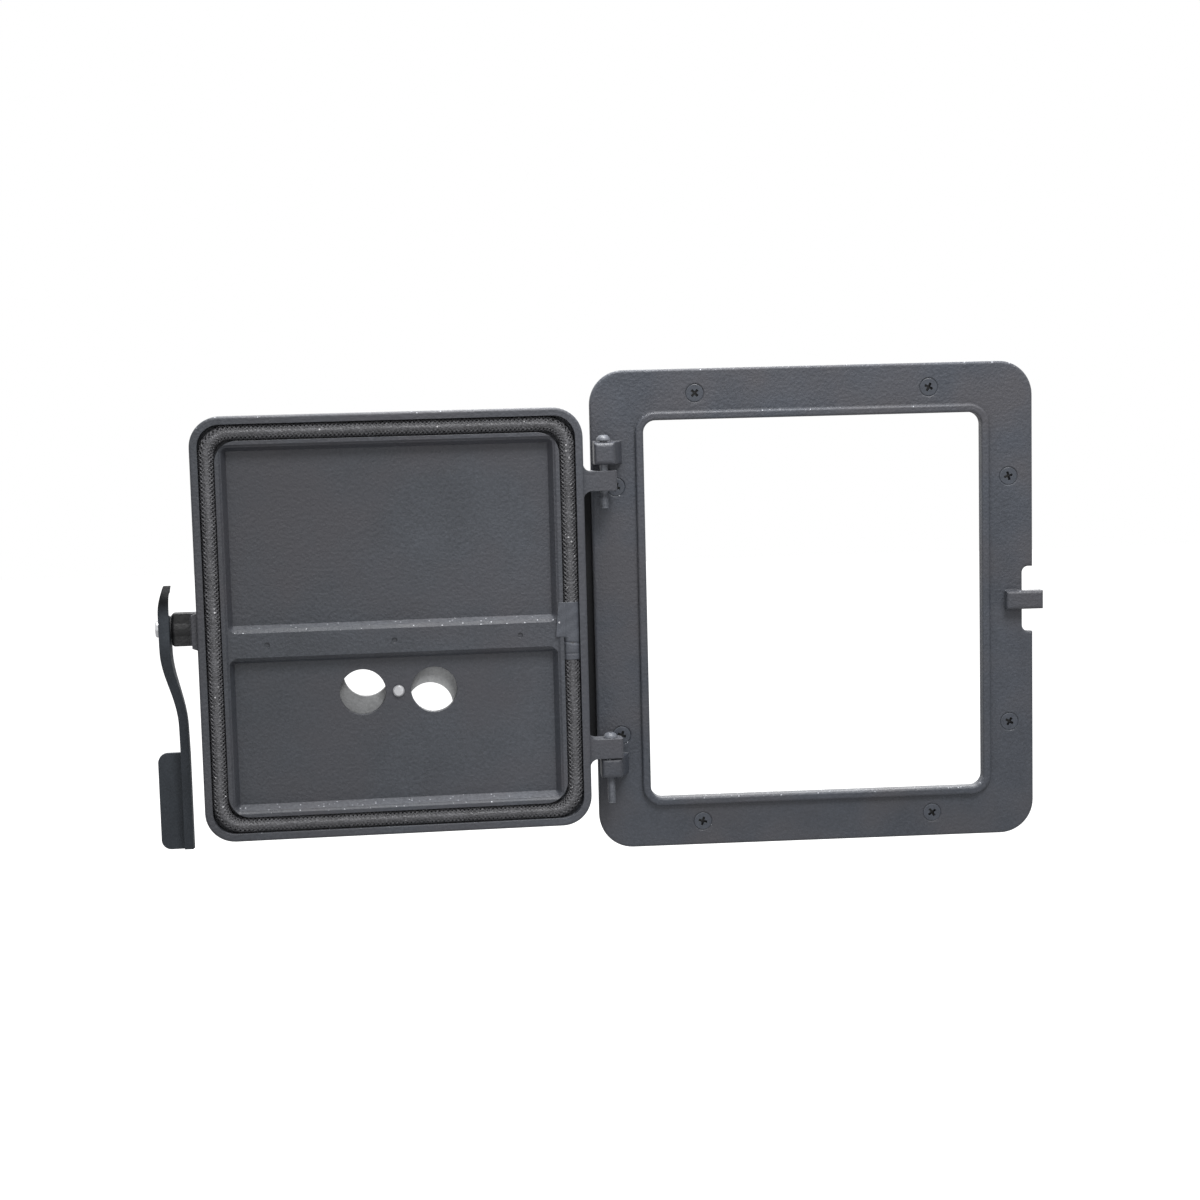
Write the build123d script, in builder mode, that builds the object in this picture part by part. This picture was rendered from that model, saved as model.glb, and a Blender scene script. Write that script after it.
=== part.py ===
# Fireplace insert door: a cast frame plate with a hinged cast door, a hook latch and an air regulator.
# Millimetres. X runs to the right, Y into the wall, Z up, seen by someone standing in the room.
# The origin is the middle of the fire opening, on the wall side of the frame plate.
# The door stands open, as far as it swings, and its latch lever hangs.
import os
from math import atan2, cos, degrees, radians, sin

from build123d import *

# Fire opening and frame plate
opening_width = 210.0
opening_height = 235.0
opening_corner = 7.5
border_side = 32.5
border_end = 31.0
plate_thickness = 5.5
plate_corner = 21.0
plate_edge_round = 1.5
bead_width = 5.0
bead_height = 3.0
bead_round = 1.4
edge_search = 0.1

# Keeper for the latch: a peg across a notch in the free side of the plate
notch_depth = 6.6
notch_height = 41.0
notch_corner = 4.0
peg_height = 11.4
peg_reach = 5.0
peg_root = 11.4
peg_thickness = 7.0
peg_round = 1.8

# Frame screws, their nuts and the angle frame behind the plate
screw_shank = 6.0
screw_head = 11.7
screw_hole = 6.6
screw_length = 16.0
screw_chamfer = 0.6
countersink_gap = 0.1
end_screw_spread = 145.3
end_screw_inset = 15.0
side_screw_spread = 154.5
side_screw_inset = 15.1
nut_across_flats = 10.0
nut_height = 5.0
thread_gap = 0.05
angle_thickness = 3.0
angle_leg = 20.0
angle_flange = 19.0
angle_setback = 6.0
angle_corner = 2.0
hinge_strip_reach = 8.0
hinge_strip_height = 170.0

# Hinge
open_angle = 177.0
hinge_gap = 13.4
hinge_standoff = 13.0
hinge_pin = 5.0
hinge_fit = 0.08
hinge_head = 8.6
hinge_head_height = 3.6
hinge_head_round = 2.6
hinge_pin_chamfer = 0.5
hinge_head_raise = 1.2
hinge_pin_tail = 11.0
lower_pin_tail = 16.4
arm_spread = 164.5
arm_height = 12.0
arm_thickness = 13.0
arm_overhang = 7.3
arm_end_round = 2.0
arm_root_round = 5.0
arm_tip_search = 5.3
upper_lug_height = 13.3
lower_lug_height = 12.0
lug_front_width = 12.0
lug_front_thickness = 6.0
lug_flank = 6.2
lug_round = 2.4
lug_root = 1.0
upper_hinge_gap = 3.7
lower_hinge_gap = 0.3

# Door leaf
leaf_overlap = 12.0
leaf_height = 255.5
leaf_thickness = 14.0
leaf_corner = 18.0
leaf_edge_round = 1.6
seal_gap = 3.5
door_drop = 0.4
rim_width = 4.7
channel_width = 9.8
channel_depth = 8.0
rib_width = 3.2
rib_drop = 0.4
recess_depth = 8.4
recess_slope = 3.2
recess_corner = 4.0
mouth_chamfer = 0.9
mouth_angle = 45.0
bar_bevel = 0.7
bar_bevel_depth = 2.1
bar_centre = -9.2
bar_height = 16.2
bar_drop = 1.6
dimple_spread = 76.0
dimple_width = 3.2
dimple_depth = 0.8

# Sealing rope and the wrapped joint where its ends meet
rope_drop = 0.4
rope_gap = 0.1
rope_round = 3.6
patch_thickness = 0.5
patch_height = 35.5
patch_centre = -7.6
patch_corner = 2.0
flap_height = 17.0
flap_centre = 1.8
flap_reach = 3.6

# Air regulator
air_centre_shift = -1.6
air_centre_height = -41.0
air_hole = 28.0
air_hole_spread = 43.2
air_set_angle = 29.0
disc_margin = 4.5
disc_thickness = 3.5
disc_gap = 0.3
disc_edge_round = 1.2
knob_width = 11.0
knob_height = 15.0
knob_round = 2.5
knob_inset = 1.5
air_bolt_shank = 7.0
air_bolt_head = 13.0
air_bolt_head_height = 4.0
air_bolt_end = 1.8
air_bolt_chamfer = 0.8
air_washer_width = 16.0
air_washer_thickness = 1.2

# Latch
latch_standoff = 18.0
latch_rise = 1.0
latch_lug_reach = 15.6
latch_lug_radius = 9.8
latch_lug_start = 9.0
latch_lug_round = 2.2
flare_depth = 3.4
flare_reach = 3.2
flare_narrow = 9.9
flare_wide = 12.9
latch_bolt_shank = 6.0
latch_bolt_head = 10.0
latch_bolt_head_height = 2.5
latch_bolt_round = 1.0
latch_bore_stop = 4.0
latch_bolt_stop = 6.0
latch_washer_width = 13.0
latch_washer_thickness = 0.8
latch_play = 0.1
latch_fit = 0.08
lever_thickness = 6.3
lever_boss = 8.0
claw_reach = 13.8
claw_top = 26.2
claw_corner = 9.0
claw_tip_end = 1.0
claw_tip_thickness = 4.2
claw_lean = 1.5
claw_lean_start = 10.0
claw_lean_slope = 0.25
claw_taper = 2.0
stem_thickness = 3.6
throat_corner = 3.0
neck_front = [(13.8, -4.0), (8.6, -20.0), (-0.5, -35.0), (-6.0, -50.0), (-10.0, -70.0), (-11.0, -90.0)]
neck_back = [(-24.0, -90.0), (-21.5, -72.0), (-15.5, -54.0), (-11.0, -30.0), (-8.0, -6.0)]
lever_bottom = -138.0
lever_margin = 1.0
lever_half_width = 30.0
lever_half_depth = 60.0
neck_shift = -7.4
neck_shift_start = -13.0
neck_shift_end = -62.0
rib_thickness = 5.4
grip_top = -79.5
grip_bottom = -139.5
grip_width = 20.0
grip_thickness = 3.4
grip_corner = 6.0

# Sizes that follow from those above
plate_width = opening_width + 2 * border_side
plate_height = opening_height + 2 * border_end
leaf_width = opening_width + 2 * leaf_overlap
hinge_x = -(leaf_width / 2 + hinge_gap)
hinge_y = -(plate_thickness + hinge_standoff)
inner_face = -(hinge_standoff - seal_gap)
arm_top = arm_spread / 2 + arm_height / 2
pin_bore = hinge_pin + 2 * hinge_fit
upper_lug_bottom = arm_top + upper_hinge_gap
lower_lug_top = -arm_top - lower_hinge_gap

# Plane of the open leaf: along it from the hinge axis, up, and outward through its thickness
swing = radians(180.0 - open_angle)
along_leaf = Vector(-cos(swing), -sin(swing), 0)
out_of_leaf = Vector(-sin(swing), cos(swing), 0)
hinge_plane = Plane(origin=(hinge_x, hinge_y, -door_drop), x_dir=along_leaf, z_dir=out_of_leaf)


def on_leaf(along, up, depth):
    """Plane parallel to the leaf: along from its middle, up from its middle, depth from its inner face."""
    place = hinge_plane.from_local_coords((along + hinge_gap + leaf_width / 2, up, depth + inner_face))
    return Plane(origin=place, x_dir=along_leaf, z_dir=out_of_leaf)


def across_leaf(along, up, depth):
    """Plane across the leaf: its x points to the inner side, its y up and its normal to the free side."""
    place = on_leaf(along, up, depth).origin
    return Plane(origin=place, x_dir=-out_of_leaf, z_dir=along_leaf)


leaf_depth = Axis((hinge_x, hinge_y, 0), out_of_leaf)
wall_side = Plane.XZ
front_side = Plane.XZ.offset(plate_thickness)
leaf_inner = on_leaf(0, 0, 0)

os.makedirs("parts", exist_ok=True)

# Frame plate: one casting with the sealing bead, two hinge lugs and the keeper
notch_edge = plate_width / 2 - notch_depth
peg_end = plate_width / 2 + peg_reach
peg_start = notch_edge - peg_root
peg_front = -plate_thickness - peg_thickness
lug_front = hinge_y - lug_front_thickness

with BuildPart() as frame_plate:
    with BuildSketch(wall_side) as plate_outline:
        RectangleRounded(plate_width, plate_height, plate_corner)
        RectangleRounded(opening_width, opening_height, opening_corner, mode=Mode.SUBTRACT)
        with Locations((plate_width / 2, 0)):
            Rectangle(2 * notch_depth, notch_height, mode=Mode.SUBTRACT)
        notch_corners = plate_outline.vertices().filter_by_position(
            Axis.X, notch_edge - edge_search, notch_edge + edge_search)
        fillet(notch_corners, notch_corner)
    extrude(amount=plate_thickness)
    front_edges = frame_plate.faces().sort_by(Axis.Y)[0].outer_wire().edges()
    fillet(front_edges, plate_edge_round)
    with BuildSketch(front_side):
        RectangleRounded(opening_width + 2 * bead_width, opening_height + 2 * bead_width,
                         opening_corner + bead_width)
        RectangleRounded(opening_width, opening_height, opening_corner, mode=Mode.SUBTRACT)
    extrude(amount=bead_height)
    bead_top = frame_plate.faces().sort_by(Axis.Y)[0]
    fillet(bead_top.edges(), bead_round)
    with BuildSketch(Plane.XY.offset(upper_lug_bottom)) as lug_plan:
        with BuildLine():
            Polyline(
                (hinge_x - lug_front_width / 2, -plate_thickness + lug_root),
                (hinge_x - lug_front_width / 2, lug_front),
                (hinge_x + lug_front_width / 2, lug_front),
                (hinge_x + lug_front_width / 2 + lug_flank, -plate_thickness + lug_root),
                close=True,
            )
        make_face()
    extrude(amount=upper_lug_height)
    with BuildSketch(Plane.XY.offset(lower_lug_top - lower_lug_height)):
        add(lug_plan.sketch_local)
    extrude(amount=lower_lug_height)
    lug_edges = frame_plate.edges().filter_by_position(
        Axis.Y, lug_front - edge_search, lug_front + edge_search)
    fillet(lug_edges, lug_round)
    with BuildSketch(front_side):
        with Locations(((peg_start + peg_end) / 2, 0)):
            Rectangle(peg_end - peg_start, peg_height)
    extrude(amount=peg_thickness)
    peg_edges = frame_plate.edges().filter_by_position(
        Axis.Y, peg_front - edge_search, peg_front + edge_search)
    fillet(peg_edges.filter_by_position(Axis.X, peg_start, peg_end), peg_round)
    with Locations((hinge_x, hinge_y, 0)):
        Cylinder(pin_bore / 2, plate_height, mode=Mode.SUBTRACT)
    with Locations(front_side):
        with GridLocations(end_screw_spread, plate_height - 2 * end_screw_inset, 2, 2):
            CounterSinkHole(screw_hole / 2, screw_head / 2 + countersink_gap, depth=plate_thickness)
        with GridLocations(plate_width - 2 * side_screw_inset, side_screw_spread, 2, 2):
            CounterSinkHole(screw_hole / 2, screw_head / 2 + countersink_gap, depth=plate_thickness)
frame_plate.part.label = "frame_plate"
export_step(frame_plate.part, "parts/frame_plate.step")

# Angle frame behind the plate: its flange takes the screws and is wider between the hinges, its leg
# reaches into the wall
leg_width = opening_width + 2 * (angle_setback + angle_thickness)
leg_height = opening_height + 2 * (angle_setback + angle_thickness)
screw_places = [
    (side * end_screw_spread / 2, end * (plate_height / 2 - end_screw_inset))
    for side in (-1, 1) for end in (-1, 1)
] + [
    (side * (plate_width / 2 - side_screw_inset), end * side_screw_spread / 2)
    for side in (-1, 1) for end in (-1, 1)
]

with BuildPart() as angle_frame:
    with BuildSketch(wall_side):
        RectangleRounded(leg_width + 2 * (angle_flange - angle_thickness),
                         leg_height + 2 * (angle_flange - angle_thickness), angle_corner)
        with Locations((-plate_width / 2 - hinge_strip_reach, 0)):
            Rectangle(hinge_strip_reach + border_side, hinge_strip_height, align=(Align.MIN, Align.CENTER))
        RectangleRounded(leg_width - 2 * angle_thickness, leg_height - 2 * angle_thickness,
                         angle_corner, mode=Mode.SUBTRACT)
        with Locations(*screw_places):
            Circle(screw_hole / 2, mode=Mode.SUBTRACT)
    extrude(amount=-angle_thickness)
    with BuildSketch(wall_side.offset(-angle_thickness)):
        RectangleRounded(leg_width, leg_height, angle_corner)
        RectangleRounded(leg_width - 2 * angle_thickness, leg_height - 2 * angle_thickness,
                         angle_corner, mode=Mode.SUBTRACT)
    extrude(amount=-(angle_leg - angle_thickness))
angle_frame.part.label = "angle_frame"
export_step(angle_frame.part, "parts/angle_frame.step")

# Eight countersunk screws: the cone of the head fills the countersink, the shank passes plate and flange
head_depth = (screw_head - screw_shank) / 2

with BuildPart() as one_screw:
    with BuildSketch(Plane.XZ):
        with BuildLine():
            Polyline((0, 0), (screw_head / 2, 0), (screw_shank / 2, -head_depth),
                     (screw_shank / 2, -screw_length + screw_chamfer),
                     (screw_shank / 2 - screw_chamfer, -screw_length),
                     (0, -screw_length), close=True)
        make_face()
    revolve(axis=Axis.Z)

with BuildPart() as frame_screws:
    for across, up in screw_places:
        head_plane = Plane(origin=(across, -plate_thickness, up), x_dir=(1, 0, 0), z_dir=(0, -1, 0))
        add(head_plane.location * one_screw.part)
frame_screws.part.label = "frame_screws"
export_step(frame_screws.part, "parts/frame_screws.step")

# A hex nut on each screw, behind the flange
with BuildPart() as frame_nuts:
    with BuildSketch(wall_side.offset(-angle_thickness)):
        with Locations(*screw_places):
            RegularPolygon(nut_across_flats / 2, 6, major_radius=False)
            Circle(screw_shank / 2 + thread_gap, mode=Mode.SUBTRACT)
    extrude(amount=-nut_height)
frame_nuts.part.label = "frame_nuts"
export_step(frame_nuts.part, "parts/frame_nuts.step")


def hinge_screw(name, head_bottom, end):
    """Pan head screw standing on the hinge axis, its end below."""
    with BuildPart() as pin:
        with BuildSketch(Plane.XY.offset(head_bottom)):
            with Locations((hinge_x, hinge_y)):
                Circle(hinge_head / 2)
        extrude(amount=hinge_head_height)
        fillet(pin.edges().group_by(Axis.Z)[-1], hinge_head_round)
        with BuildSketch(Plane.XY.offset(end)):
            with Locations((hinge_x, hinge_y)):
                Circle(hinge_pin / 2)
        extrude(amount=head_bottom - end)
        chamfer(pin.edges().group_by(Axis.Z)[0], hinge_pin_chamfer)
    pin.part.label = name
    export_step(pin.part, "parts/" + name + ".step")


# Hinge pins: the upper one is held in the frame's lug, the lower one in the door's arm
hinge_screw("upper_hinge_pin", upper_lug_bottom + upper_lug_height + hinge_head_raise,
            arm_top - arm_height - hinge_pin_tail)
hinge_screw("lower_hinge_pin", -arm_top + arm_height,
            lower_lug_top - lower_lug_height - lower_pin_tail)

# Door leaf: one casting with rim, rope channel, inner rib, two sloped fields, bar, arms and latch lug
channel_inside = rim_width + channel_width
field_edge = channel_inside + rib_width
bar_low = bar_centre - bar_height / 2
bar_high = bar_centre + bar_height / 2
field_width = leaf_width - 2 * field_edge
upper_field = leaf_height / 2 - field_edge - bar_high
lower_field = bar_low + leaf_height / 2 - field_edge
slope_angle = degrees(atan2(recess_slope, recess_depth))
lever_plane = across_leaf(leaf_width / 2 + latch_lug_reach, latch_rise, latch_standoff)

with BuildPart() as door_leaf:
    with BuildSketch(leaf_inner):
        RectangleRounded(leaf_width, leaf_height, leaf_corner)
    extrude(amount=leaf_thickness)
    with BuildSketch(leaf_inner.offset(flare_depth)):
        with BuildLine():
            Polyline((leaf_width / 2 - rim_width, -flare_wide), (leaf_width / 2 + flare_reach, -flare_narrow),
                     (leaf_width / 2 + flare_reach, flare_narrow), (leaf_width / 2 - rim_width, flare_wide),
                     close=True)
        make_face()
    extrude(amount=leaf_thickness - flare_depth)
    outer_edges = door_leaf.edges().group_by(leaf_depth)
    fillet(outer_edges[0] + outer_edges[-1], leaf_edge_round)
    with BuildSketch(leaf_inner):
        RectangleRounded(leaf_width - 2 * rim_width, leaf_height - 2 * rim_width, leaf_corner - rim_width)
        RectangleRounded(leaf_width - 2 * channel_inside, leaf_height - 2 * channel_inside,
                         leaf_corner - rim_width, mode=Mode.SUBTRACT)
    extrude(amount=channel_depth, mode=Mode.SUBTRACT)
    with BuildSketch(leaf_inner):
        RectangleRounded(leaf_width - 2 * channel_inside, leaf_height - 2 * channel_inside,
                         leaf_corner - rim_width)
    extrude(amount=rib_drop, mode=Mode.SUBTRACT)
    with BuildSketch(leaf_inner):
        with Locations((0, bar_high + upper_field / 2)):
            RectangleRounded(field_width, upper_field, recess_corner)
        with Locations((0, bar_low - lower_field / 2)):
            RectangleRounded(field_width, lower_field, recess_corner)
    extrude(amount=recess_depth, taper=slope_angle, mode=Mode.SUBTRACT)
    with BuildSketch(leaf_inner.offset(rib_drop)):
        RectangleRounded(field_width + 2 * mouth_chamfer, leaf_height - 2 * (field_edge - mouth_chamfer),
                         recess_corner + mouth_chamfer)
    extrude(amount=bar_drop - rib_drop, taper=mouth_angle, mode=Mode.SUBTRACT)
    with BuildSketch(leaf_inner.offset(bar_drop)):
        bevel_width = field_width - 2 * bar_drop
        with Locations((0, bar_high + (upper_field - bar_drop - bar_bevel) / 2)):
            RectangleRounded(bevel_width, upper_field - bar_drop + bar_bevel, recess_corner)
        with Locations((0, bar_low - (lower_field - bar_drop - bar_bevel) / 2)):
            RectangleRounded(bevel_width, lower_field - bar_drop + bar_bevel, recess_corner)
    extrude(amount=bar_bevel_depth, taper=mouth_angle, mode=Mode.SUBTRACT)
    with BuildSketch(leaf_inner.offset(bar_drop)):
        with Locations((0, bar_centre)):
            with GridLocations(dimple_spread, 1, 3, 1):
                Circle(dimple_width / 2)
    extrude(amount=dimple_depth, mode=Mode.SUBTRACT)
    with BuildSketch(leaf_inner):
        with Locations((air_centre_shift, air_centre_height)):
            with GridLocations(air_hole_spread, 1, 2, 1):
                Circle(air_hole / 2)
            Circle(air_bolt_shank / 2 + thread_gap)
    extrude(amount=leaf_thickness, mode=Mode.SUBTRACT)
    with BuildSketch(on_leaf(0, door_drop, 0).offset(-inner_face - arm_thickness / 2)) as arm_shapes:
        for end in (-1, 1):
            arm_low = end * arm_spread / 2 - arm_height / 2
            arm_tip = -leaf_width / 2 - hinge_gap - arm_overhang
            with Locations((arm_tip, arm_low)):
                Rectangle(hinge_gap + arm_overhang + rim_width, arm_height, align=(Align.MIN, Align.MIN))
            with Locations((-leaf_width / 2, end * arm_spread / 2)):
                Rectangle(rim_width, arm_height + 4 * arm_root_round, align=(Align.MIN, Align.CENTER))
        roots = [root for root in arm_shapes.vertices()
                 if abs(root.X + leaf_width / 2) < edge_search
                 and abs(abs(root.Y) - arm_spread / 2) < arm_height / 2 + edge_search]
        fillet(roots, arm_root_round)
    extrude(amount=arm_thickness)
    tip_edges = [edge for edge in door_leaf.edges().filter_by(Axis.Z)
                 if (edge.center() - Vector(hinge_x, hinge_y, 0)).dot(along_leaf) < -arm_tip_search]
    fillet(tip_edges, arm_end_round)
    with Locations((hinge_x, hinge_y, 0)):
        Cylinder(pin_bore / 2, leaf_height, mode=Mode.SUBTRACT)
    with BuildSketch(lever_plane):
        Circle(latch_lug_radius)
        Rectangle(latch_standoff - latch_lug_start, 2 * latch_lug_radius, align=(Align.MIN, Align.CENTER))
    extrude(amount=-(latch_lug_reach + rim_width))
    lug_end = door_leaf.faces().sort_by(Axis((hinge_x, hinge_y, 0), along_leaf))[-1]
    fillet(lug_end.edges(), latch_lug_round)
    with BuildSketch(lever_plane):
        Circle(latch_bolt_shank / 2 + thread_gap)
    extrude(amount=-(latch_lug_reach + rim_width - latch_bore_stop), mode=Mode.SUBTRACT)
door_leaf.part.label = "door_leaf"
export_step(door_leaf.part, "parts/door_leaf.step")

# Sealing rope, pressed into the channel and a little below the rim
rope_width = channel_width - 2 * rope_gap

with BuildPart() as sealing_rope:
    with BuildSketch(on_leaf(0, 0, channel_depth - rope_gap)):
        RectangleRounded(leaf_width - 2 * (rim_width + rope_gap), leaf_height - 2 * (rim_width + rope_gap),
                         leaf_corner - rim_width - rope_gap)
        RectangleRounded(leaf_width - 2 * (channel_inside - rope_gap),
                         leaf_height - 2 * (channel_inside - rope_gap),
                         leaf_corner - rim_width + rope_gap, mode=Mode.SUBTRACT)
    extrude(amount=-(channel_depth - rope_gap - rope_drop))
    fillet(sealing_rope.edges().group_by(leaf_depth)[0], rope_round)
sealing_rope.part.label = "sealing_rope"
export_step(sealing_rope.part, "parts/sealing_rope.step")

# Cloth patch glued over the joint of the rope, with a flap over the rib on the hinge side
patch_start = -leaf_width / 2 + rim_width + rope_gap
patch_end = patch_start + rope_width

with BuildPart() as rope_patch:
    with BuildSketch(on_leaf(0, 0, rope_drop)):
        with Locations(((patch_start + patch_end) / 2, patch_centre)):
            RectangleRounded(rope_width, patch_height, patch_corner)
        with Locations((patch_end - patch_corner, flap_centre)):
            Rectangle(patch_corner + flap_reach, flap_height, align=(Align.MIN, Align.CENTER))
    extrude(amount=-patch_thickness)
rope_patch.part.label = "rope_patch"
export_step(rope_patch.part, "parts/rope_patch.step")

# Air regulator disc on the outer face, with its grip cast on; it stands partly turned
air_middle = on_leaf(air_centre_shift, air_centre_height, leaf_thickness + disc_gap)
air_turn = radians(air_set_angle)
air_plane = Plane(origin=air_middle.origin, x_dir=along_leaf * cos(air_turn) + Vector(0, 0, sin(air_turn)),
                  z_dir=out_of_leaf)
disc_radius = air_hole_spread / 2 + air_hole / 2 + disc_margin

with BuildPart() as air_disc:
    with BuildSketch(air_plane):
        Circle(disc_radius)
        with GridLocations(air_hole_spread, 1, 2, 1):
            Circle(air_hole / 2, mode=Mode.SUBTRACT)
        Circle(air_bolt_shank / 2 + hinge_fit, mode=Mode.SUBTRACT)
    extrude(amount=disc_thickness)
    fillet(air_disc.edges().group_by(leaf_depth)[-1].sort_by(SortBy.LENGTH)[-1], disc_edge_round)
    with BuildSketch(air_plane.offset(disc_thickness)):
        with Locations((0, -(disc_radius - knob_width / 2 - knob_inset))):
            SlotOverall(2 * knob_width, knob_width)
    extrude(amount=knob_height)
    fillet(air_disc.edges().group_by(leaf_depth)[-1], knob_round)
air_disc.part.label = "air_disc"
export_step(air_disc.part, "parts/air_disc.step")

# Washer and hex bolt that hold the disc; the bolt is screwed into the leaf and its end shows inside
with BuildPart() as air_washer:
    with BuildSketch(air_middle.offset(disc_thickness + disc_gap)):
        Circle(air_washer_width / 2)
        Circle(air_bolt_shank / 2 + thread_gap, mode=Mode.SUBTRACT)
    extrude(amount=air_washer_thickness)
air_washer.part.label = "air_washer"
export_step(air_washer.part, "parts/air_washer.step")

washer_top = disc_thickness + disc_gap + air_washer_thickness

with BuildPart() as air_bolt:
    with BuildSketch(air_middle.offset(washer_top)):
        RegularPolygon(air_bolt_head / 2, 6, major_radius=False)
    extrude(amount=air_bolt_head_height)
    with BuildSketch(air_middle.offset(washer_top)):
        Circle(air_bolt_shank / 2)
    extrude(amount=-(washer_top + disc_gap + leaf_thickness - recess_depth + air_bolt_end))
    chamfer(air_bolt.edges().group_by(leaf_depth)[0], air_bolt_chamfer)
air_bolt.part.label = "air_bolt"
export_step(air_bolt.part, "parts/air_bolt.step")

# Latch washer between the lug and the lever, then the lever, then its pivot bolt
with BuildPart() as latch_washer:
    with BuildSketch(lever_plane):
        Circle(latch_washer_width / 2)
        Circle(latch_bolt_shank / 2 + thread_gap, mode=Mode.SUBTRACT)
    extrude(amount=latch_washer_thickness)
latch_washer.part.label = "latch_washer"
export_step(latch_washer.part, "parts/latch_washer.step")

# Lever: its side outline and its front outline, seen from the room, meet in one bent casting
lever_side = latch_washer_thickness + latch_play
lever_middle = lever_side + lever_thickness / 2
stem_inside = claw_reach - stem_thickness
tip_inside = claw_top - claw_tip_thickness
front_view = Plane(origin=lever_plane.from_local_coords((0, 0, lever_middle)),
                   x_dir=along_leaf, z_dir=out_of_leaf)

with BuildPart() as latch_lever:
    with BuildSketch(lever_plane.offset(lever_middle)) as side_outline:
        with BuildLine():
            FilletPolyline((claw_tip_end, claw_top), (claw_reach, claw_top), (claw_reach, neck_front[0][1]),
                           radius=claw_corner)
            front_curve = Spline(*neck_front, tangents=((0, -1), (0, -1)))
            Polyline(front_curve @ 1, (neck_front[-1][0], lever_bottom), (neck_back[0][0], lever_bottom),
                     neck_back[0])
            back_curve = Spline(*neck_back, tangents=((0, 1), (0, 1)))
            ThreePointArc(back_curve @ 1, (-lever_boss * sin(radians(45)), lever_boss * cos(radians(45))),
                          (0, lever_boss))
            FilletPolyline((0, lever_boss), (stem_inside, lever_boss), (stem_inside, tip_inside),
                           (claw_tip_end, tip_inside), radius=throat_corner)
            Line((claw_tip_end, tip_inside), (claw_tip_end, claw_top))
        make_face()
    extrude(amount=lever_half_width, both=True)
    with BuildSketch(front_view):
        with BuildLine():
            for side, taper in ((-1, 0), (1, claw_taper)):
                claw_side = Spline((side * lever_thickness / 2 - claw_lean - taper, claw_top + lever_margin),
                                   (side * lever_thickness / 2, claw_lean_start),
                                   tangents=((claw_lean_slope, -1), (0, -1)))
                stem_side = Line(claw_side @ 1, (side * lever_thickness / 2, neck_shift_start))
                neck_side = Spline(stem_side @ 1, (neck_shift + side * rib_thickness / 2, neck_shift_end),
                                   tangents=((0, -1), (0, -1)))
                Line(neck_side @ 1, (neck_shift + side * rib_thickness / 2, lever_bottom - lever_margin))
            Line((-lever_thickness / 2 - claw_lean, claw_top + lever_margin),
                 (lever_thickness / 2 - claw_lean - claw_taper, claw_top + lever_margin))
            Line((neck_shift - rib_thickness / 2, lever_bottom - lever_margin),
                 (neck_shift + rib_thickness / 2, lever_bottom - lever_margin))
        make_face()
    extrude(amount=lever_half_depth, both=True, mode=Mode.INTERSECT)
    with BuildSketch(front_view.offset(-neck_back[0][0] - grip_thickness)):
        with Locations((neck_shift - rib_thickness / 2, (grip_top + grip_bottom) / 2)):
            grip = Rectangle(grip_width, grip_top - grip_bottom, align=(Align.MIN, Align.CENTER))
        fillet(grip.vertices().group_by(Axis.X)[-1], grip_corner)
    extrude(amount=grip_thickness)
    with BuildSketch(lever_plane):
        Circle(latch_bolt_shank / 2 + latch_fit)
    extrude(amount=2 * lever_middle, mode=Mode.SUBTRACT)
latch_lever.part.label = "latch_lever"
export_step(latch_lever.part, "parts/latch_lever.step")

# Pivot bolt: a domed head outside the lever, its shank screwed into the lug
head_start = lever_side + lever_thickness + latch_play

with BuildPart() as latch_bolt:
    with BuildSketch(lever_plane.offset(head_start)):
        Circle(latch_bolt_head / 2)
    extrude(amount=latch_bolt_head_height)
    fillet(latch_bolt.edges().sort_by(Axis((hinge_x, hinge_y, 0), along_leaf))[-1],
           latch_bolt_round)
    with BuildSketch(lever_plane.offset(head_start)):
        Circle(latch_bolt_shank / 2)
    extrude(amount=-(head_start + latch_lug_reach + rim_width - latch_bolt_stop))
latch_bolt.part.label = "latch_bolt"
export_step(latch_bolt.part, "parts/latch_bolt.step")

to_metres = 0.001
print("hinge axis", round(hinge_x * to_metres, 6), round(hinge_y * to_metres, 6))
pivot = lever_plane.origin * to_metres
print("latch pivot", tuple(pivot), "axis", tuple(-along_leaf))
middle = air_middle.origin * to_metres
print("air pivot", tuple(middle), "axis", tuple(out_of_leaf))
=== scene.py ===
import math

import bmesh
import bpy
from mathutils import Matrix, Vector


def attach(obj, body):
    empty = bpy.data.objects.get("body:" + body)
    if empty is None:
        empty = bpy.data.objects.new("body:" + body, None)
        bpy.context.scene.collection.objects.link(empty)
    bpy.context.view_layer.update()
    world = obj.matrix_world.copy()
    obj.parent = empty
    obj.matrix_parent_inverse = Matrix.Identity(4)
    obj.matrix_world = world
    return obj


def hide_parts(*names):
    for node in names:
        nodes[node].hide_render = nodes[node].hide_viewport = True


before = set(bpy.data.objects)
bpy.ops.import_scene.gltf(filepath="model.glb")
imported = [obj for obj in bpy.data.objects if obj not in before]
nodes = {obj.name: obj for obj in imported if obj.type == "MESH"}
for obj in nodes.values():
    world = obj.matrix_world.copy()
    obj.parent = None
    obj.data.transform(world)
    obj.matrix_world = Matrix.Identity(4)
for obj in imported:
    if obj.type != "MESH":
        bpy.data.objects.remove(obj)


def writeSize():
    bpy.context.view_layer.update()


writeSize()
mm = 0.001

# Where the open door leaf stands: swing is what it lacks to half a turn, in degrees
leaf = {"swing": 3.0, "hinge": (-130.4, -18.5, -0.4), "hingeToMiddle": 130.4, "innerFace": -9.5}
swing = math.radians(leaf["swing"])
alongLeaf = Vector((-math.cos(swing), -math.sin(swing), 0))
intoLeaf = Vector((-math.sin(swing), math.cos(swing), 0))
upright = Vector((0, 0, 1))


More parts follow.
